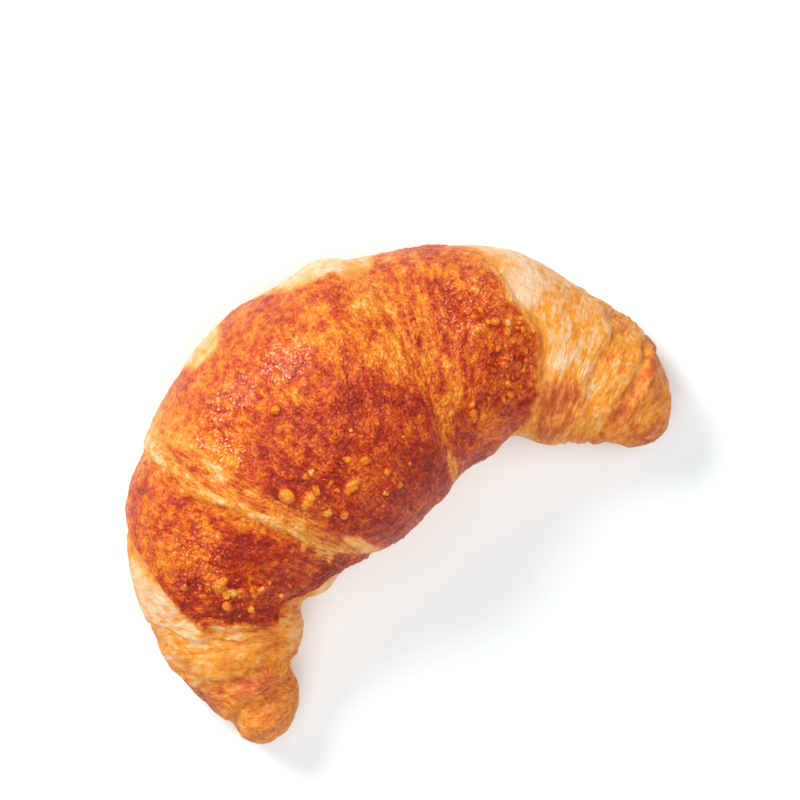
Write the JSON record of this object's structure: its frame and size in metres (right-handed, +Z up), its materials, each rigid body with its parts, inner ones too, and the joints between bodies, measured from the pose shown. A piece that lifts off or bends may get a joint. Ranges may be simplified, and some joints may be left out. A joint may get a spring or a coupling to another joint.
{
  "type": "croissant",
  "caption": "Crescent butter croissant: a rolled, laminated dough with overlapping wraps, a dark glazed middle and paler flaky horns, resting on a flat underside.",
  "frame": {"origin": "under the centre of the crescent's box, at the level of the flat underside it rests on", "axes": "+X from horn to horn, to the horn with the smoother wraps; +Y out of the crescent's rounded back; +Z up, out of the glazed top"},
  "size_m": [0.15, 0.0948, 0.0548],
  "materials": {
    "crust": "baked laminated crust, egg-glazed and satin on the middle wraps, dry and flaky on the horns"
  },
  "bodies": {
    "root": {"croissant": "crust"}
  },
  "joints": []
}
